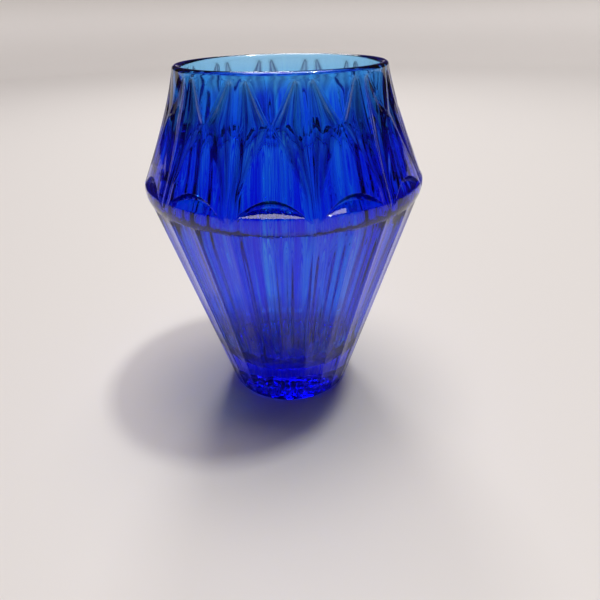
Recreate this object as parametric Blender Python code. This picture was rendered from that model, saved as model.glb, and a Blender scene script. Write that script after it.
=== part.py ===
"""Cut cobalt crystal vase, modelled as one piece of glass. Metres, +Z up.

The vase is a blown blank that was ground on wheels, so the model is a stack of rings
around the Z axis, skinned into one closed solid. Going round, the pattern repeats twelve
times: on the neck a tall kite made of two round-headed lancets with a ridge between them,
a half-moon notch on the shoulder between two kites, and two hollow flutes on the tapering
foot below. The origin is the centre of the flat underside.
"""
import math

import bmesh
import bpy
from mathutils import Vector

MM = 0.001

# Driving sizes, in millimetres until they are used.
overall_height = 160.0       # underside to the crown of the lip
girdle_height = 111.0        # where the vase is widest
girdle_radius = 63.2
ring_height = 105.5          # fine line where the belt ends and the foot's flutes begin
ring_drop_in = 1.6           # how far the ring line sits inside the girdle
ring_land = 0.9              # height of the small ledge over the flutes
lip_radius = 45.3            # outer radius of the rounded lip
lip_thickness = 3.4
foot_radius = 31.6           # radius over the edges between flutes, carried down to z = 0
heel_radius = 2.6            # rounding between foot and underside
neck_curve = 1.22            # exponent of the neck's hollow sweep, 1 would be a straight cone

pattern_count = 12           # kites and notches
flutes_per_pattern = 2       # flutes of the foot under each kite and notch
flute_hollow = 0.7           # how far the middle of a flute is ground below flat
lancet_hollow = 1.25         # the same for a lancet, at its widest point
lancet_full_width = 9.0      # width from which a lancet has its full hollow
kite_end_gap = 1.1           # plain glass between the kites' tops and the lip's rounding
notch_foot_height = 113.5    # lower, straight edge of the half-moon notches
notch_rise = 6.0             # notch edge to the top of its arch
notch_half_angle = 12.0      # degrees
notch_depth = 3.6
notch_ledge_rise = 3.0       # height of the notch's crease over its lower edge

mouth_wall = 3.4             # glass at the lip
neck_wall = 6.2              # glass at the kites' widest point, before cutting
girdle_wall = 12.0
foot_wall = 7.2
floor_thickness = 21.0       # glass under the inside floor
floor_corner = 20.0          # rounding of the inside floor's corner

star_radius = 23.0           # shallow star cut in the underside
star_points = 24
star_depth = 1.1

inner_columns = 60

# Derived values.
pitch = 360.0 / pattern_count
half_pitch = pitch / 2.0
columns = 10                 # columns of points in one pattern
flute = pitch / flutes_per_pattern
ring_radius = girdle_radius - ring_drop_in
shoulder_height = girdle_height + 2.0
lip_tube = lip_thickness / 2.0
lip_height = overall_height - lip_tube
kite_top = lip_height - kite_end_gap
kite_foot = shoulder_height - 2.0
notch_top = notch_foot_height + notch_rise


def blend(a, b, t):
    return a + (b - a) * t


def smooth(t):
    t = min(max(t, 0.0), 1.0)
    return t * t * (3.0 - 2.0 * t)


def read_curve(points, x):
    """Straight-line reading of a curve given as (x, value) pairs with x rising."""
    if x <= points[0][0]:
        return points[0][1]
    for (x0, v0), (x1, v1) in zip(points, points[1:]):
        if x <= x1:
            return blend(v0, v1, (x - x0) / (x1 - x0))
    return points[-1][1]


def turned_radius(z):
    """Radius of the uncut blank."""
    if z <= ring_height:
        return blend(foot_radius, ring_radius, z / ring_height)
    if z <= girdle_height:
        t = (z - ring_height) / (girdle_height - ring_height)
        return blend(ring_radius, girdle_radius, math.sin(t * math.pi / 2.0))
    if z <= shoulder_height:
        return girdle_radius
    t = (z - shoulder_height) / (lip_height - shoulder_height)
    return lip_radius + (girdle_radius - lip_radius) * (1.0 - min(t, 1.0)) ** neck_curve


def facet_share(z):
    """1 where the foot is fluted, 0 where the glass is round."""
    if z < ring_height:
        return smooth(z / (2.2 * heel_radius))
    return 1.0 - smooth((z - ring_height) / ring_land)


def facet_factor(angle, share):
    """Radius over edge radius at an angle counted from an edge between two flutes."""
    across = (angle % flute) / flute * 2.0 - 1.0
    flat = math.cos(math.radians(flute / 2.0)) / math.cos(math.radians(flute / 2.0 * across))
    return blend(1.0, flat - flute_hollow / girdle_radius * (1.0 - across * across), share)


# A kite's half width over its height: share of the way from its foot to its top, then
# its half width as a share of the half pitch. Neighbours touch at the widest point.
kite_outline = [(0.0, 0.06), (0.055, 0.2), (0.21, 0.225), (0.32, 0.36), (0.45, 0.56),
                (0.59, 0.81), (0.683, 1.0), (0.80, 0.74), (0.865, 0.61), (0.93, 0.47),
                (0.975, 0.38), (1.0, 0.27)]


def kite_height(share):
    return blend(kite_foot, kite_top, share)


def kite_half(z):
    """Half width of a kite in degrees at one height, with the share of its depth."""
    share = (z - kite_foot) / (kite_top - kite_foot)
    if share < 0.0:
        return kite_outline[0][1] * half_pitch, 0.0
    if share > 1.0:
        return kite_outline[-1][1] * half_pitch, 0.0
    return read_curve(kite_outline, share) * half_pitch, 1.0


def lancet_radius(half, radius):
    """Radius in the valley of a lancet, half way between the kite's ridge and its edge."""
    flat = radius * (1.0 - math.cos(math.radians(half / 2.0)))
    width = math.radians(half) * radius
    return radius - flat - lancet_hollow * min(width / lancet_full_width, 1.0)


def pattern_angles(half, notch_half):
    """Columns of one pattern, from a kite's ridge to just before the next."""
    side = min(notch_half, half_pitch - half)
    first = [0.0, half / 2.0, half, half_pitch - side, half_pitch - side / 2.0, half_pitch]
    return first + [pitch - a for a in first[-2:0:-1]]


def flute_angles():
    """Columns of one pattern on the foot: the edges, the middles and the quarters of its flutes."""
    first = [flute * t for t in (0.0, 0.25, 0.5, 0.75, 0.875, 1.0)]
    return first + [pitch - a for a in first[-2:0:-1]]


def around(angles, radii, heights):
    """One full ring of points from one pattern's columns."""
    ring = []
    for k in range(pattern_count):
        for a, r, z in zip(angles, radii, heights):
            t = math.radians(a + k * pitch + half_pitch - 90.0)
            ring.append(Vector((r * math.cos(t), r * math.sin(t), z)) * MM)
    return ring


def even_angles():
    return [i * pitch / columns for i in range(columns)]


def wall_ring(z, angles=None, cut=True):
    """Ring of the outer wall at one height, lancets cut in."""
    half, depth_on = kite_half(z)
    if angles is None:
        angles = pattern_angles(half, notch_half_angle)
    base = turned_radius(z)
    share = facet_share(z)
    radii = [base * facet_factor(a, share) for a in angles]
    if cut and depth_on:
        radii[1] = radii[-1] = lancet_radius(half, base)
    return around(angles, radii, [z] * columns)


def notch_rings():
    """Lower edge, inner crease and arched upper edge of the half-moon notches."""
    z0 = notch_foot_height
    half, depth_on = kite_half(z0)
    angles = pattern_angles(half, notch_half_angle)
    side = half_pitch - angles[3]
    crease, arch, above = [], [], []
    for i, a in enumerate(angles):
        inside = 1.0 - (abs(a - half_pitch) / side) ** 2 if 3 <= i <= columns - 3 else 0.0
        arch_z = z0 + notch_rise * inside
        crease_z = z0 + notch_ledge_rise * inside
        above_z = blend(arch_z, kite_height(kite_outline[2][0]), 0.5)
        cut = 0.0
        if i in (1, columns - 1):
            cut = turned_radius(z0) - lancet_radius(half, turned_radius(z0))
        crease.append((turned_radius(z0) - notch_depth * inside - cut, crease_z))
        arch.append((turned_radius(arch_z) - cut, arch_z))
        above.append((turned_radius(above_z) - cut, above_z))
    return [around(angles, [p[0] for p in row], [p[1] for p in row])
            for row in (crease, arch, above)]


def star_ring(radius, valley, ridge):
    """Ring of the underside's star of shallow mitre grooves that meet in the middle."""
    per_point = columns * pattern_count // star_points
    heights = []
    for i in range(columns):
        part = (i % per_point) / per_point
        heights.append(blend(valley, ridge, 1.0 - abs(2.0 * part - 1.0)))
    return around(even_angles(), [radius] * columns, heights)


def inner_wall(z):
    """Thickness of the glass at one height, measured from the turned radius."""
    stations = [(floor_thickness, foot_wall), (ring_height - 6.0, foot_wall),
                (girdle_height, girdle_wall),
                (kite_height(kite_outline[6][0]), neck_wall), (lip_height, mouth_wall)]
    for (z0, w0), (z1, w1) in zip(stations, stations[1:]):
        if z <= z1:
            return blend(w0, w1, smooth((z - z0) / (z1 - z0)))
    return mouth_wall


def inner_profile():
    """Radius and height down the inside, from just under the lip to the floor."""
    heights = [blend(lip_height, girdle_height, t) for t in
               (0.1, 0.25, 0.4, 0.55, 0.7, 0.85, 1.0)]
    heights += [blend(girdle_height, ring_height - 8.0, t) for t in (0.45, 1.0)]
    corner_top = floor_thickness + floor_corner
    heights += [blend(ring_height - 8.0, corner_top, t) for t in (0.5, 1.0)]
    profile = [(turned_radius(z) - inner_wall(z), z) for z in heights]
    corner_r = profile[-1][0] - floor_corner
    for step in (1, 2, 3):
        t = math.radians(30.0 * step)
        profile.append((corner_r + floor_corner * math.cos(t),
                        corner_top - floor_corner * math.sin(t)))
    profile.append((corner_r * 0.45, floor_thickness))
    return profile


def plain_ring(radius, z, columns):
    ring = []
    for i in range(columns):
        t = math.radians(i * 360.0 / columns + half_pitch - 90.0)
        ring.append(Vector((radius * math.cos(t), radius * math.sin(t), z)) * MM)
    return ring


class Skin:
    """Rings of points joined into one closed mesh; points that coincide become one."""

    def __init__(self):
        self.bm = bmesh.new()
        self.known = {}

    def vert(self, point):
        key = tuple(round(c * 1e7) for c in point)
        if key not in self.known:
            self.known[key] = self.bm.verts.new(point)
        return self.known[key]

    def face(self, verts):
        corners = []
        for v in verts:
            if v not in corners:
                corners.append(v)
        if len(corners) > 2:
            self.bm.faces.new(corners)

    def join(self, low, high):
        """Skin two rings of equal count, or a ring over one with half its columns."""
        a = [self.vert(p) for p in low]
        b = [self.vert(p) for p in high]
        n = len(a)
        for i in range(n):
            j = (i + 1) % n
            if len(b) == n:
                self.face([a[i], a[j], b[j], b[i]])
            elif i % 2 == 0:
                k, m = i // 2, (i // 2 + 1) % len(b)
                self.face([a[i], a[j], b[k]])
                self.face([a[j], a[(j + 1) % n], b[m]])
                self.face([a[j], b[m], b[k]])

    def close(self, ring, centre):
        hub = self.vert(centre)
        verts = [self.vert(p) for p in ring]
        for i, v in enumerate(verts):
            self.face([v, verts[(i + 1) % len(verts)], hub])


def outer_rings():
    """Every outer ring from the underside's edge up to the lip's crown."""
    flat_radius = turned_radius(0.0) - heel_radius
    rings = [star_ring(star_radius, 0.0, 0.0)]
    rings.append(around(even_angles(), [flat_radius] * columns, [0.0] * columns))
    for step in (1, 2, 3):
        t = math.radians(30.0 * step)
        z = heel_radius * (1.0 - math.cos(t))
        pull = heel_radius * (1.0 - math.sin(t))
        share = facet_share(z)
        radii = [(turned_radius(z) - pull) * facet_factor(a, share) for a in flute_angles()]
        rings.append(around(flute_angles(), radii, [z] * columns))
    for z in (2.2 * heel_radius, ring_height - 0.5, ring_height, ring_height + ring_land):
        rings.append(wall_ring(z, flute_angles()))
    for t in (0.3, 0.6, 1.0):
        z = blend(ring_height + ring_land, girdle_height, t)
        cut_angles = pattern_angles(kite_half(z)[0], notch_half_angle)
        angles = [blend(a, b, t) for a, b in zip(flute_angles(), cut_angles)]
        rings.append(wall_ring(z, angles, cut=False))
    rings.append(wall_ring(notch_foot_height))
    rings += notch_rings()
    for share, _ in kite_outline[2:]:
        rings.append(wall_ring(kite_height(share)))
    rings.append(wall_ring(kite_top + 0.25, even_angles(), cut=False))
    return rings


def lip_rings():
    """The rounded lip, from its outer side over the crown to the inside."""
    rings = []
    centre = lip_radius - lip_tube
    for step in range(7):
        t = math.radians(30.0 * step)
        r = centre + lip_tube * math.cos(t)
        z = lip_height + lip_tube * math.sin(t)
        rings.append(around(even_angles(), [r] * columns, [z] * columns))
    return rings


def build_vase_mesh():
    skin = Skin()
    inner_star = [star_ring(star_radius * 0.62, star_depth, 0.0),
                  star_ring(star_radius * 0.25, star_depth * 0.8, star_depth * 0.35)]
    outer = inner_star[::-1] + outer_rings() + lip_rings()
    for low, high in zip(outer, outer[1:]):
        skin.join(low, high)
    skin.close(inner_star[1][::-1], Vector((0.0, 0.0, star_depth * 0.7 * MM)))
    inside = [plain_ring(r, z, inner_columns) for r, z in inner_profile()]
    skin.join(outer[-1], inside[0])
    for high, low in zip(inside, inside[1:]):
        skin.join(high, low)
    skin.close(inside[-1], Vector((0.0, 0.0, floor_thickness * MM)))
    bmesh.ops.recalc_face_normals(skin.bm, faces=skin.bm.faces)
    mesh = bpy.data.meshes.new("vase_body")
    skin.bm.to_mesh(mesh)
    skin.bm.free()
    mesh.shade_smooth()
    mesh.set_sharp_from_angle(angle=math.radians(12.0))
    return mesh


def cobalt_crystal():
    material = bpy.data.materials.new("cobalt_lead_crystal")
    material.use_nodes = True
    shader = material.node_tree.nodes["Principled BSDF"]
    shader.inputs["Base Color"].default_value = (0.008, 0.035, 0.62, 1.0)
    shader.inputs["Roughness"].default_value = 0.02
    shader.inputs["Metallic"].default_value = 0.0
    shader.inputs["IOR"].default_value = 1.55
    shader.inputs["Transmission Weight"].default_value = 1.0
    return material


for leftover in list(bpy.data.objects):
    bpy.data.objects.remove(leftover, do_unlink=True)

vase = bpy.data.objects.new("vase_body", build_vase_mesh())
vase.data.materials.append(cobalt_crystal())
bpy.context.scene.collection.objects.link(vase)
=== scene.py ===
import bpy
import math
from mathutils import Matrix, Vector


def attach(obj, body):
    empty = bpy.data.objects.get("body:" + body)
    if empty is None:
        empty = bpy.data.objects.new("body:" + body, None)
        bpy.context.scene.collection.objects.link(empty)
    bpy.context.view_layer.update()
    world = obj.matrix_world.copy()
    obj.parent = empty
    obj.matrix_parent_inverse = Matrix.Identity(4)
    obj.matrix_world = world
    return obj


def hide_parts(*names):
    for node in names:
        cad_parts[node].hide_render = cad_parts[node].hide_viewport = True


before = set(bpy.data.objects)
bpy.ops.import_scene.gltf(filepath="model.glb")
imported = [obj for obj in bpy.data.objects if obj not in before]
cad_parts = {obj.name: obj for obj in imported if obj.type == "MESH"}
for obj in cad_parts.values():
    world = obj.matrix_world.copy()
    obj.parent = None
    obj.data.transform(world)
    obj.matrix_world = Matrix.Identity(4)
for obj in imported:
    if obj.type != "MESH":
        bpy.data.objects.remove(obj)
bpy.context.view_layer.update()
print("frame loaded")

mm = 0.001
tiny = 1e-9


# ---- small helpers

def mix(a, b, t):
    return a + (b - a) * t


def ease(t):
    t = min(max(t, 0.0), 1.0)
    return t * t * (3.0 - 2.0 * t)


def linearColor(hexText):   # sRGB hex to the linear values that shaders take
    parts = [int(hexText[i:i + 2], 16) / 255.0 for i in (1, 3, 5)]
    return [p / 12.92 if p <= 0.04045 else ((p + 0.055) / 1.055) ** 2.4 for p in parts]


def addNode(tree, kind, settings=None, links=None):   # one node with its settings and its inputs' links
    node = tree.nodes.new(kind)
    for key, value in (settings or {}).items():
        if key in node.inputs:
            node.inputs[key].default_value = value
        else:
            setattr(node, key, value)
    for key, source in (links or {}).items():
        tree.links.new(source, node.inputs[key])
    return node


def smoothCurve(points, x):   # reads (x, value) pairs as one smooth line, x rising
    if x <= points[0][0]:
        return points[0][1]
    if x >= points[-1][0]:
        return points[-1][1]
    i = max(k for k in range(len(points) - 1) if points[k][0] <= x)
    slopes = []
    for k in (i, i + 1):
        before = points[max(k - 1, 0)]
        after = points[min(k + 1, len(points) - 1)]
        slopes.append((after[1] - before[1]) / (after[0] - before[0]))
    (x0, v0), (x1, v1) = points[i], points[i + 1]
    w = x1 - x0
    t = (x - x0) / w
    return (v0 * (2 * t ** 3 - 3 * t ** 2 + 1) + slopes[0] * w * (t ** 3 - 2 * t ** 2 + t)
            + v1 * (3 * t ** 2 - 2 * t ** 3) + slopes[1] * w * (t ** 3 - t ** 2))


# ---- the vase

vaseSize = {   # millimetres and degrees
    "height": 160.0, "girdleHeight": 111.0, "girdleRadius": 63.2,
    "shoulderBand": 2.0,      # upright band over the girdle
    "ringHeight": 105.5, "ringRadius": 61.6, "ringLand": 0.9,
    "lipRadius": 45.3, "lipThickness": 3.4,
    "footRadius": 31.6, "heelRadius": 2.6,
    "neckCurve": 1.22,        # 1 would be a straight cone
    "repeats": 12,            # kites and notches
    "kiteTopGap": 1.1,        # plain glass between the kites and the lip's rounding
    "lancetHollow": 1.25,     # how deep a lancet is ground below flat
    "lancetFullWidth": 9.0,   # width from which a lancet has all of that hollow
    "edgeLine": 0.26,         # fine groove along the edges of a lancet
    "edgeHollow": 0.3,        # hollow from which a lancet's edges have all of that groove
    "fanDepth": 0.35,         # fine grooves below each crossing of two kites
    "footReed": 0.1,          # finer ones down the foot
    "flutesPerRepeat": 2, "footHollow": 0.7,
    "notchFoot": 113.5, "notchRise": 6.0, "notchHalf": 11.7,
    "notchDepth": 3.6, "notchLedge": 3.0,
    "notchSoft": 0.35,        # polish along the ledge's two edges
    "notchBow": 0.35,         # how hollow the back of a notch is ground
    "notchClear": 1.5,        # height over a notch in which the rows of faces flatten out
    "neckWall": 6.2, "girdleWall": 12.0, "footWall": 7.2,
    "floor": 21.0, "floorCorner": 20.0,
    "starRadius": 23.0, "starDepth": 1.1,
    "edgeSoft": 0.22,         # half width of the polish that rounds each cut's edge
    "ringSoft": 0.16,         # the same at the ring line
    "columns": 50,            # columns of faces in one repeat
}
s = vaseSize
pitch = 360.0 / s["repeats"]
halfPitch = pitch / 2
flute = pitch / s["flutesPerRepeat"]
shoulderHeight = s["girdleHeight"] + s["shoulderBand"]
lipTube = s["lipThickness"] / 2
lipHeight = s["height"] - lipTube
kiteFoot = s["girdleHeight"]
kiteTop = lipHeight - s["kiteTopGap"]

# half width of a kite, as a share of half a repeat, over its height: it widens until
# neighbours touch, then narrows again to the round heads of its two lancets
kiteLower = [
    (0.0, 0.04), (0.055, 0.2), (0.21, 0.225), (0.32, 0.36), (0.45, 0.56), (0.59, 0.81), (0.683, 1.0)]
kiteUpper = [
    (0.683, 1.0), (0.80, 0.74), (0.865, 0.61), (0.93, 0.47), (0.965, 0.4), (0.985, 0.35), (1.0, 0.27)]
# half width of the ridge left standing between the two lancets
kiteRidge = [
    (0.0, 0.012), (0.3, 0.03), (0.7, 0.09), (0.9, 0.13), (0.965, 0.155), (0.985, 0.19), (1.0, 0.265)]
ridgeMost = 0.8   # the ridge's half width is never more than this share of the kite's
crossing = mix(kiteFoot, kiteTop, kiteLower[-1][0])   # height where neighbouring kites touch


def turnedRadius(z):   # the vase before it is cut
    if z <= s["ringHeight"]:
        return mix(s["footRadius"], s["ringRadius"], z / s["ringHeight"])
    if z <= s["girdleHeight"]:
        t = (z - s["ringHeight"]) / (s["girdleHeight"] - s["ringHeight"])
        return mix(s["ringRadius"], s["girdleRadius"], math.sin(t * math.pi / 2))
    if z <= shoulderHeight:
        return s["girdleRadius"]
    t = min((z - shoulderHeight) / (lipHeight - shoulderHeight), 1.0)
    return s["lipRadius"] + (s["girdleRadius"] - s["lipRadius"]) * (1 - t) ** s["neckCurve"]


def facetShare(z):   # 1 where the foot is fluted, 0 where the glass is round
    if z < s["ringHeight"]:
        return ease(z / (2.2 * s["heelRadius"]))
    return 1 - ease((z - s["ringHeight"]) / s["ringLand"])


def facetFactor(angle, share):   # hollow flutes, with an edge under each kite and each notch
    across = (angle % flute) / flute * 2 - 1   # -1 and 1 at the edges
    flat = math.cos(math.radians(flute / 2)) / math.cos(math.radians(flute / 2 * across))
    return mix(1.0, flat - s["footHollow"] / s["girdleRadius"] * (1 - across * across), share)


def kiteHalf(z):   # half widths of the kite and of its ridge, and whether the kite is cut at this height
    t = (z - kiteFoot) / (kiteTop - kiteFoot)
    if t > 1.0:
        return kiteUpper[-1][1] * halfPitch, kiteRidge[-1][1] * halfPitch, False
    half = min(smoothCurve(kiteLower if t <= kiteLower[-1][0] else kiteUpper, t), 1.0)
    ridge = min(smoothCurve(kiteRidge, t), ridgeMost * half)
    return half * halfPitch, ridge * halfPitch, t >= 0


columnPlan = {   # where half a repeat's columns lie, as shares of the ridge, lancet, panel and notch
    "lancet": (0.17, 0.3, 0.43, 0.57, 0.7, 0.83), "notch": (0.14, 0.25, 0.37, 0.5, 0.63, 0.76, 0.88),
    "outside": 13,       # columns from a kite's edge to the middle of the notch
    "notchRoom": 0.86,   # most of the gap between two kites that the notch's columns may take
    "nearMost": 0.12,    # most of a width that the close column at its edge may stand off
    "evenOut": 5.0,      # millimetres over the notch in which the columns even out
}


def columnAngles(z, even=False):   # one repeat's columns, with a close pair of columns at each cut's edge
    n = s["columns"]
    if even:
        return [pitch * i / n for i in range(n + 1)]
    plan = columnPlan
    half, ridge = kiteHalf(z)[:2]
    notch = min(s["notchHalf"], plan["notchRoom"] * (halfPitch - half))
    panel = halfPitch - half - notch
    lancet = half - ridge
    soft = math.degrees(s["edgeSoft"] / turnedRadius(z))

    def near(width):
        return min(soft / width, plan["nearMost"]) if width > tiny else plan["nearMost"]
    angles = [ridge * t for t in (0, 0.5, 1 - near(ridge))]
    angles += [ridge + lancet * t for t in (0, near(lancet), *plan["lancet"], 1 - near(lancet))]
    angles += [half + panel * t for t in (0, near(panel), 0.5, 1 - near(panel))]
    angles += [halfPitch - notch * (1 - t) for t in (0, near(notch), *plan["notch"])]
    spread = ease((z - s["notchFoot"] - s["notchRise"]) / plan["evenOut"])
    first = len(angles) - plan["outside"]
    for i in range(first, len(angles)):
        angles[i] = mix(angles[i], mix(half, halfPitch, (i - first) / plan["outside"]), spread)
    return angles + [halfPitch] + [pitch - a for a in angles[::-1]]


def lancetHollow(ridge, half, radius):   # how deep the round wheel has cut between ridge and edge
    return s["lancetHollow"] * min(math.radians(half - ridge) * radius / s["lancetFullWidth"], 1.0)


def wallRow(z, even=False, cut=True, offsets=None, sink=None):
    # one row of the outer wall: height can shift and radius can sink from column to column
    row = []
    for i, a in enumerate(columnAngles(z, even)):
        zi = z + (offsets[i] if offsets else 0.0)
        outer = turnedRadius(zi)
        r = outer * facetFactor(a, facetShare(zi))
        half, ridge, isCut = kiteHalf(zi)
        b = min(a, pitch - a)
        if cut and isCut and not even:
            if ridge + tiny < b < half - tiny:   # in a lancet: hollow below the chord between its edges
                t = (b - ridge) / (half - ridge)
                low, high = math.radians(ridge), math.radians(half)
                x = outer * mix(math.cos(low), math.cos(high), t)
                y = outer * mix(math.sin(low), math.sin(high), t)
                x -= lancetHollow(ridge, half, outer) * 4 * t * (1 - t)
                r = math.hypot(x, y)
                b = math.degrees(math.atan2(y, x))
                a = b if a <= halfPitch else pitch - b
            elif abs(b - half) < tiny or abs(b - ridge) < tiny:
                r -= s["edgeLine"] * min(lancetHollow(ridge, half, r) / s["edgeHollow"], 1.0)
        if sink:
            r -= sink[i]
        row.append((a, r, zi))
    return row


def reeds(count, depth):   # shallow grooves on every second column, counted out from the panel's middle
    places = [i - s["columns"] // 2 for i in range(s["columns"] + 1)]
    return [depth if abs(p) < count and p % 2 else 0.0 for p in places]


def notchShare(angles):   # 1 in the middle of the notch, 0 at its ends and outside it
    return [max(0.0, 1 - ((a - halfPitch) / s["notchHalf"]) ** 2) for a in angles]


def notchRows():
    z0, depth, rise = s["notchFoot"], s["notchDepth"], s["notchRise"]
    soft = s["notchSoft"] / depth
    inside = notchShare(columnAngles(z0))
    rows = []
    for t in (0.0, soft, 0.35, 0.7, 1 - soft, 1.0):   # ledge, from the lower edge in to the crease
        lift = [s["notchLedge"] * t * k for k in inside]
        rows.append(wallRow(z0, offsets=lift, sink=[depth * t * k for k in inside]))
    crease = rows[-1]
    arch = wallRow(z0, offsets=[rise * k for k in inside])
    for t in (0.04, 0.2, 0.4, 0.6, 0.8, 0.96, 1.0):   # hollow back, from the crease up to the arch
        row = []
        for k, low, high in zip(inside, crease, arch):
            bow = s["notchBow"] * math.sin(math.pi * t) * k
            row.append((low[0], mix(low[1], high[1], t) - bow, mix(low[2], high[2], t)))
        rows.append(row)
    top = z0 + rise + s["notchClear"]
    for t in (0.03, 0.25, 0.5, 0.75):   # over the arch the rows flatten out
        z = mix(z0, top, t)
        rows.append(wallRow(z, offsets=[rise * k * (1 - t) for k in notchShare(columnAngles(z))]))
    return rows, top


def starRow(radius, depth):   # two mitred rays of the underside's star to one repeat
    ray = s["columns"] // 2
    row = []
    for i in range(s["columns"] + 1):
        ridge = 1 - abs(2 * (i % ray) / ray - 1)
        row.append((pitch * i / s["columns"], radius, depth * (1 - ridge)))
    return row


def innerWall(z):
    stations = [(s["floor"], s["footWall"]), (s["ringHeight"] - 6, s["footWall"]),
                (s["girdleHeight"], s["girdleWall"]), (crossing, s["neckWall"]),
                (lipHeight, s["lipThickness"])]
    for (z0, w0), (z1, w1) in zip(stations, stations[1:]):
        if z <= z1:
            return mix(w0, w1, ease((z - z0) / (z1 - z0)))
    return s["lipThickness"]


def innerRadius(z):   # an average over a few millimetres, so the outline's kinks don't show inside
    reach, steps = 5.0, 4
    if z >= lipHeight - reach:
        return turnedRadius(z) - innerWall(z)
    total = 0.0
    for i in range(-steps, steps + 1):
        zi = min(max(z + reach * i / steps, s["floor"]), lipHeight)
        total += turnedRadius(zi) - innerWall(zi)
    return total / (2 * steps + 1)


ribLook = {   # soft, uneven upright ribs inside the vase, millimetres
    "height": 1.4,
    "waves": [(17, 0.3, 0.3), (31, 0.33, 1.4), (52, 0.25, 1.9), (83, 0.12, 2.6)],   # count, share, start
    "floorFade": 24.0, "topStart": 126.0, "topFade": 18.0,
    "ringDip": 0.65, "ringReach": 16.0,   # lower where the wall is thickest
    "lean": 0.4, "leanHeight": 23.0,
    "leastRadius": 12.0,
}


def innerRib(angle, z):
    look = ribLook
    strong = ease((z - s["floor"]) / look["floorFade"])
    strong *= 1 - ease((z - look["topStart"]) / look["topFade"])
    strong *= 1 - look["ringDip"] * ease(1 - abs(z - s["ringHeight"]) / look["ringReach"])
    lean = look["lean"] * math.sin(z / look["leanHeight"])
    wave = sum(k * math.cos(n * angle + start + lean) for n, k, start in look["waves"])
    return look["height"] * strong * wave


paintedShadeBand = {   # how much painted shade the lancets get, as shares
    "least": 0.4, "band": 0.9, "bandReach": 1.15,
    "fadeStart": 0.06, "fade": 0.2,   # shares of the kite's height
    "deepest": 3.0,                   # millimetres under the turned outline, so that the inside stays clear
    "uneven": 0.15, "unevenTurns": 9, "unevenHeight": 5.0,
}


def paintedCutShade(angle, r, z):   # painted shade in the lancets: near 1 where a lancet is steepest, 0 on the plain glass
    look = paintedShadeBand
    half, ridge, isCut = kiteHalf(z)
    a = (math.degrees(angle) + 90 + halfPitch) % pitch
    b = min(a, pitch - a)
    if not isCut or not ridge < b < half or r < turnedRadius(z) - look["deepest"]:
        return 0.0
    across = abs(2 * (b - ridge) / (half - ridge) - 1)   # 0 down the lancet's middle, 1 at its edges
    band = math.sin(math.pi * min(across * look["bandReach"], 1.0)) ** 2
    tall = (z - kiteFoot) / (kiteTop - kiteFoot)
    wander = math.sin(look["unevenTurns"] * angle + 0.7) * math.sin(z / look["unevenHeight"])
    dark = min(look["least"] + look["band"] * band, 1.0)
    dark *= ease((tall - look["fadeStart"]) / look["fade"])
    return dark * (1 - look["uneven"] + look["uneven"] * wander)


def undersideRows():
    rows = [starRow(0.0, s["starDepth"] * 0.75)]
    rings = 16
    for step in range(1, rings + 1):   # rays crossed by rings of small cuts, which sparkle through the foot
        t = step / rings
        shallow = 1.0 if t < 0.6 else (1 - t) / 0.4
        rows.append(starRow(s["starRadius"] * t, s["starDepth"] * shallow * (1.0 if step % 2 else 0.45)))
    flat = turnedRadius(0) - s["heelRadius"]
    rows.append([(a, mix(s["starRadius"], flat, 0.5), 0.0) for a in columnAngles(0, even=True)])
    for step in range(8):   # heel
        t = math.radians(90.0 * step / 7)
        z = s["heelRadius"] * (1 - math.cos(t))
        pull = s["heelRadius"] * (1 - math.sin(t))
        rows.append([(a, r - pull, z) for a, r, z in wallRow(z, even=True)])
    return rows


def footRows():   # the fluted foot, with its reeds, past the ring line to the girdle
    ring, land, soft = s["ringHeight"], s["ringLand"], s["ringSoft"]
    heights = [3.6, 4.8, 6.0, 9.0, 20.0, 35.0, 50.0, 65.0, 80.0, 92.0, 100.0]
    rows = []
    for z in heights + [ring - 2, ring - 0.75, ring - 0.45]:
        grown = ease((z - 4) / 8) * ease((ring - 0.4 - z) / 3)
        rows.append(wallRow(z, even=True, sink=reeds(s["columns"] // 2 - 1, s["footReed"] * grown)))
    rows += [wallRow(z, even=True) for z in (ring - soft, ring, ring + soft, ring + land * 0.5)]
    low = ring + land
    rows += [wallRow(z, cut=False) for z in (low - soft, low, low + soft)]
    for t in (0.12, 0.25, 0.4, 0.55, 0.7, 0.85, 1.0):
        rows.append(wallRow(mix(low, s["girdleHeight"], t), cut=False))
    return rows


def neckRows():   # from the girdle over the notches and kites to the lip
    above = s["girdleHeight"]
    rows = [wallRow(z) for z in (above + 0.8, above + 1.6, s["notchFoot"] - s["ringSoft"])]
    notches, top = notchRows()
    rows += notches
    steps = 15
    for i in range(steps):   # the panels below the crossings, with their fan of fine grooves
        depth = s["fanDepth"] * ease(i / 3) * ease((steps - i) / 4)
        rows.append(wallRow(mix(top, crossing, i / steps), sink=reeds(columnPlan["outside"], depth)))
    heads = (3.0, 2.3, 1.6, 1.1, 0.7, 0.35, 0.1)   # rows close together round the lancets' heads
    rows += [wallRow(mix(crossing, kiteTop - heads[0], i / 9)) for i in range(9)]
    rows += [wallRow(kiteTop - down) for down in heads]
    rows.append(wallRow(kiteTop + 0.25, even=True))
    rows.append(wallRow(lipHeight - 0.4, even=True))
    return rows


def lipRows():
    centre = s["lipRadius"] - lipTube
    rows = []
    for step in range(17):
        t = math.pi * step / 16
        z = lipHeight + lipTube * math.sin(t)
        rows.append([(a, centre + lipTube * math.cos(t), z) for a in columnAngles(0, even=True)])
    return rows


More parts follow.
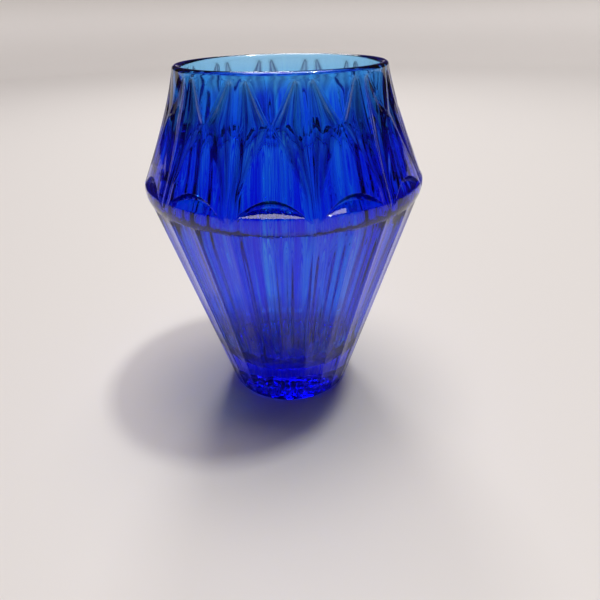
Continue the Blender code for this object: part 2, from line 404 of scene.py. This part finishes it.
def insideRows():   # down the inside, round the floor's corner and in to the middle
    bend = s["floorCorner"]
    corner = s["floor"] + bend
    heights = [mix(lipHeight, corner, t / 36) for t in range(1, 37)]
    inside = [(innerRadius(z), z) for z in heights]
    flat = inside[-1][0] - bend
    for step in range(1, 10):
        t = math.radians(10.0 * step)
        inside.append((flat + bend * math.cos(t), corner - bend * math.sin(t)))
    inside += [(flat * t, s["floor"]) for t in (0.7, 0.4, 0.15, 0.0)]
    return [[(a, r, z) for a in columnAngles(0, even=True)] for r, z in inside]


def makeVase():
    rows = undersideRows() + footRows() + neckRows() + lipRows() + insideRows()
    columns, last = s["columns"], len(rows) - 1
    bpy.ops.object.select_all(action='DESELECT')
    bpy.ops.mesh.primitive_grid_add(x_subdivisions=columns, y_subdivisions=last, size=1)
    vase = bpy.context.object
    vase.name = "cutVase"
    for v in vase.data.vertices:   # each grid point goes to its column and row of the cut wall
        a, r, z = rows[round((v.co.y + 0.5) * last)][round((v.co.x + 0.5) * columns)]
        t = math.radians(a - 90 - halfPitch)
        v.co = Vector((r * math.cos(t), r * math.sin(t), z)) * mm
    bpy.ops.object.mode_set(mode='EDIT')
    bpy.ops.mesh.select_all(action='SELECT')
    bpy.ops.mesh.spin(steps=s["repeats"] - 1, dupli=True, angle=math.radians(360 - pitch),
                      center=(0, 0, 0), axis=(0, 0, 1))
    bpy.ops.mesh.select_all(action='SELECT')
    bpy.ops.mesh.remove_doubles(threshold=0.000004)
    bpy.ops.mesh.dissolve_degenerate(threshold=0.000002)
    bpy.ops.mesh.select_all(action='SELECT')
    bpy.ops.mesh.normals_make_consistent(inside=False)
    bpy.ops.object.mode_set(mode='OBJECT')
    for v in vase.data.vertices:   # the ribs run unevenly all the way round, so they come last
        r, z = math.hypot(v.co.x, v.co.y) / mm, v.co.z / mm
        if s["floor"] < z < lipHeight - 1 and r < innerRadius(z) + 0.2:
            grow = 1 - innerRib(math.atan2(v.co.y, v.co.x), z) / max(r, ribLook["leastRadius"])
            v.co.x *= grow
            v.co.y *= grow
    # painted shade for the lancets, kept on each point for the material to read
    shade = vase.data.attributes.new("paintedCutShade", 'FLOAT', 'POINT')
    for i, v in enumerate(vase.data.vertices):
        x, y, z = v.co / mm
        shade.data[i].value = paintedCutShade(math.atan2(y, x), math.hypot(x, y), z)
    bpy.ops.object.shade_smooth()
    return vase


vase = makeVase()
print("vase shaped:", len(vase.data.vertices), "points", len(vase.data.polygons), "faces")

crystalLook = {   # lead crystal melted with cobalt oxide, blown, cut on wheels and acid polished: clear and bright at edges, deep blue where the glass is thick, with upright streaks that make the colour bluer in places
    # clear and bright at edges, deep blue where the glass is thick, with upright streaks of the melt
    "ior": 1.545, "roughness": 0.004,
    "absorbRed": 325.0, "absorbGreen": 112.0, "absorbBlue": 3.0,   # per metre of glass
    "streakWidth": 2.2, "streakLength": 55.0,   # millimetres, at the girdle
    "streakColor": "#5058f6", "clearColor": "#ffffff",
    "paintedShadeColor": "#3a145c",                      # painted shade: stands in for the dark bands of shade that deep cuts throw in thick glass
    "streakTop": 141.0, "streakFade": 12.0,     # millimetres: the mouth is clear
    "waveWidth": 7.0, "waveHeight": 0.05,       # millimetres: the faint waves of fire-polished glass
}


def cobaltCrystal():
    look = crystalLook
    material = bpy.data.materials.new("cobaltLeadCrystal")
    material.use_nodes = True
    tree = material.node_tree
    shader = tree.nodes["Principled BSDF"]
    shader.inputs["Roughness"].default_value = look["roughness"]
    shader.inputs["IOR"].default_value = look["ior"]
    shader.inputs["Transmission Weight"].default_value = 1.0
    density = look["absorbRed"] * 1.02   # a little over the strongest, so that each share stays under 1
    tint = [1 - look[k] / density for k in ("absorbRed", "absorbGreen", "absorbBlue")]
    body = addNode(tree, "ShaderNodeVolumeAbsorption", {"Color": (*tint, 1), "Density": density})
    tree.links.new(body.outputs["Volume"], tree.nodes["Material Output"].inputs["Volume"])
    # streaks: a noise read by direction from the axis, so that it runs round without a seam
    place = addNode(tree, "ShaderNodeTexCoord").outputs["Object"]
    flat = addNode(tree, "ShaderNodeVectorMath", {"operation": 'MULTIPLY'}, {0: place})
    flat.inputs[1].default_value = (1, 1, 0)
    outward = addNode(tree, "ShaderNodeVectorMath", {"operation": 'NORMALIZE'}, {0: flat.outputs[0]})
    turns = addNode(tree, "ShaderNodeVectorMath",
                    {"operation": 'SCALE', "Scale": s["girdleRadius"] / look["streakWidth"]},
                    {0: outward.outputs[0]})
    height = addNode(tree, "ShaderNodeVectorMath", {"operation": 'MULTIPLY'}, {0: place})
    height.inputs[1].default_value = (0, 0, 1 / (look["streakLength"] * mm))
    both = addNode(tree, "ShaderNodeVectorMath", {"operation": 'ADD'},
                   {0: turns.outputs[0], 1: height.outputs[0]})
    noise = addNode(tree, "ShaderNodeTexNoise", {"Scale": 0.5, "Detail": 2.5, "Roughness": 0.6},
                    {"Vector": both.outputs[0]})
    level = addNode(tree, "ShaderNodeMapRange", {"From Min": 0.4, "From Max": 0.6},
                    {"Value": noise.outputs["Fac"]})
    axes = addNode(tree, "ShaderNodeSeparateXYZ", {}, {0: place})
    fade = {"From Min": (look["streakTop"] - look["streakFade"]) * mm, "From Max": look["streakTop"] * mm}
    mouth = addNode(tree, "ShaderNodeMapRange", fade, {"Value": axes.outputs["Z"]})
    clear = addNode(tree, "ShaderNodeMath", {"operation": 'MAXIMUM'},
                    {0: level.outputs[0], 1: mouth.outputs[0]})
    # a Mix node keeps its two colours in inputs 6 and 7 and gives its colour from output 2
    color = addNode(tree, "ShaderNodeMix", {"data_type": 'RGBA'}, {"Factor": clear.outputs[0]})
    color.inputs[6].default_value = (*linearColor(look["streakColor"]), 1)
    color.inputs[7].default_value = (*linearColor(look["clearColor"]), 1)
    # painted shade: the base colour darkens toward the shade colour where the lancets' attribute is high
    cuts = addNode(tree, "ShaderNodeAttribute", {"attribute_name": "paintedCutShade"})
    deep = addNode(tree, "ShaderNodeMix", {"data_type": 'RGBA'},
                   {"Factor": cuts.outputs["Fac"], 6: color.outputs[2]})
    deep.inputs[7].default_value = (*linearColor(look["paintedShadeColor"]), 1)
    tree.links.new(deep.outputs[2], shader.inputs["Base Color"])
    waves = addNode(tree, "ShaderNodeTexNoise", {"Scale": 1 / (look["waveWidth"] * mm), "Detail": 1.0},
                    {"Vector": place})
    bump = addNode(tree, "ShaderNodeBump", {"Distance": look["waveHeight"] * mm, "Strength": 1.0},
                   {"Height": waves.outputs["Fac"]})
    tree.links.new(bump.outputs[0], shader.inputs["Normal"])
    return material


vase.data.materials.append(cobaltCrystal())
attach(vase, "root")
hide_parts("vase_body")
print("crystal made")

# ---- floor, lamps and camera

stageLook = {   # a round table top of pale paper that turns up in a low rim, metres
    "paper": "#e6e1dd", "paperRoughness": 0.5,   # uncoated paper: pale, almost without gloss
    "tableRadius": 1.8, "tableDrop": 0.0002, "wallHeight": 0.02, "cove": 0.3,
    "skyColor": "#84706a", "skyStrength": 0.16,
}


def makeSweep():
    look = stageLook
    bpy.ops.object.select_all(action='DESELECT')
    bpy.ops.mesh.primitive_circle_add(vertices=96, radius=look["tableRadius"], fill_type='NGON',
                                      location=(0, 0, -look["tableDrop"]))
    sweep = bpy.context.object
    sweep.name = "paperSweep"
    bpy.ops.object.transform_apply(location=True)
    bpy.ops.object.mode_set(mode='EDIT')
    bpy.ops.mesh.select_all(action='SELECT')
    stride = look["cove"] * math.radians(10)
    for step in range(9):   # the paper curves up from the table into the rim
        t = math.radians(10 * step)
        grow = 1 + stride * math.cos(t) / look["tableRadius"]
        bpy.ops.mesh.extrude_region_move(TRANSFORM_OT_translate={"value": (0, 0, stride * math.sin(t))})
        bpy.ops.transform.resize(value=(grow, grow, 1), center_override=(0, 0, 0))
    bpy.ops.mesh.extrude_region_move(TRANSFORM_OT_translate={"value": (0, 0, look["wallHeight"])})
    bpy.ops.mesh.delete(type='ONLY_FACE')
    bpy.ops.object.mode_set(mode='OBJECT')
    bpy.ops.object.shade_smooth()
    return sweep


sweep = makeSweep()
paper = bpy.data.materials.new("uncoatedPaper")
paper.use_nodes = True
paperShader = paper.node_tree.nodes["Principled BSDF"]
paperShader.inputs["Base Color"].default_value = (*linearColor(stageLook["paper"]), 1)
paperShader.inputs["Roughness"].default_value = stageLook["paperRoughness"]
sweep.data.materials.append(paper)

world = bpy.data.worlds.new("studio")
bpy.context.scene.world = world
world.use_nodes = True
sky = world.node_tree.nodes["Background"]
sky.inputs["Color"].default_value = (*linearColor(stageLook["skyColor"]), 1)
sky.inputs["Strength"].default_value = stageLook["skyStrength"]

lamps = {   # place, aim, width, height (metres), watts, colour
    "keySoftbox": ((0.9, 0.25, 3.1), (0, 0, 0.05), 0.34, 0.28, 31.0, (0.97, 1.0, 0.94)),
    "backWindow": ((-0.2, 1.1, 1.12), (0, 0, 0.1), 0.34, 0.3, 4.5, (1.0, 1.0, 1.0)),
    "overheadPanel": ((0.05, 0.55, 3.0), (0, 0.3, 0.0), 2.1, 2.0, 60.0, (1.0, 0.96, 0.99)),
}
for name, (place, aim, width, height, watts, color) in lamps.items():
    lamp = bpy.data.lights.new(name, 'AREA')
    lamp.shape = 'RECTANGLE'
    lamp.size = width
    lamp.size_y = height
    lamp.energy = watts
    lamp.color = color
    holder = bpy.data.objects.new(name, lamp)
    holder.location = place
    holder.rotation_euler = (Vector(aim) - Vector(place)).to_track_quat('-Z', 'Y').to_euler()
    bpy.context.scene.collection.objects.link(holder)

cameraSet = {   # distance and height in millimetres, turns in degrees
    "azimuth": 5.0, "distance": 230.6, "height": 177.5,
    "pitch": 30.18, "yaw": 1.52, "roll": -1.18,
    "lens": 29.69, "sensor": 36.0, "clipStart": 0.01,
}


def placeCamera():
    c = cameraSet
    data = bpy.data.cameras.new("camera")
    data.lens = c["lens"]
    data.sensor_width = c["sensor"]
    data.clip_start = c["clipStart"]
    camera = bpy.data.objects.new("camera", data)
    dip, yaw, roll = [math.radians(c[k]) for k in ("pitch", "yaw", "roll")]
    level = Vector((math.sin(yaw), math.cos(yaw), 0))
    forward = level * math.cos(dip) - Vector((0, 0, math.sin(dip)))
    right = Vector((math.cos(yaw), -math.sin(yaw), 0))
    up = right.cross(forward)
    rolledRight = right * math.cos(roll) + up * math.sin(roll)
    rolledUp = up * math.cos(roll) - right * math.sin(roll)
    turn = Matrix((rolledRight, rolledUp, -forward)).transposed().to_4x4()
    place = Matrix.Translation(Vector((0, -c["distance"], c["height"])) * mm)
    camera.matrix_world = Matrix.Rotation(math.radians(c["azimuth"]), 4, 'Z') @ place @ turn
    bpy.context.scene.collection.objects.link(camera)
    bpy.context.scene.camera = camera


placeCamera()
bpy.context.scene.view_settings.view_transform = 'Standard'   # keeps the cobalt's full colour
print("stage set")
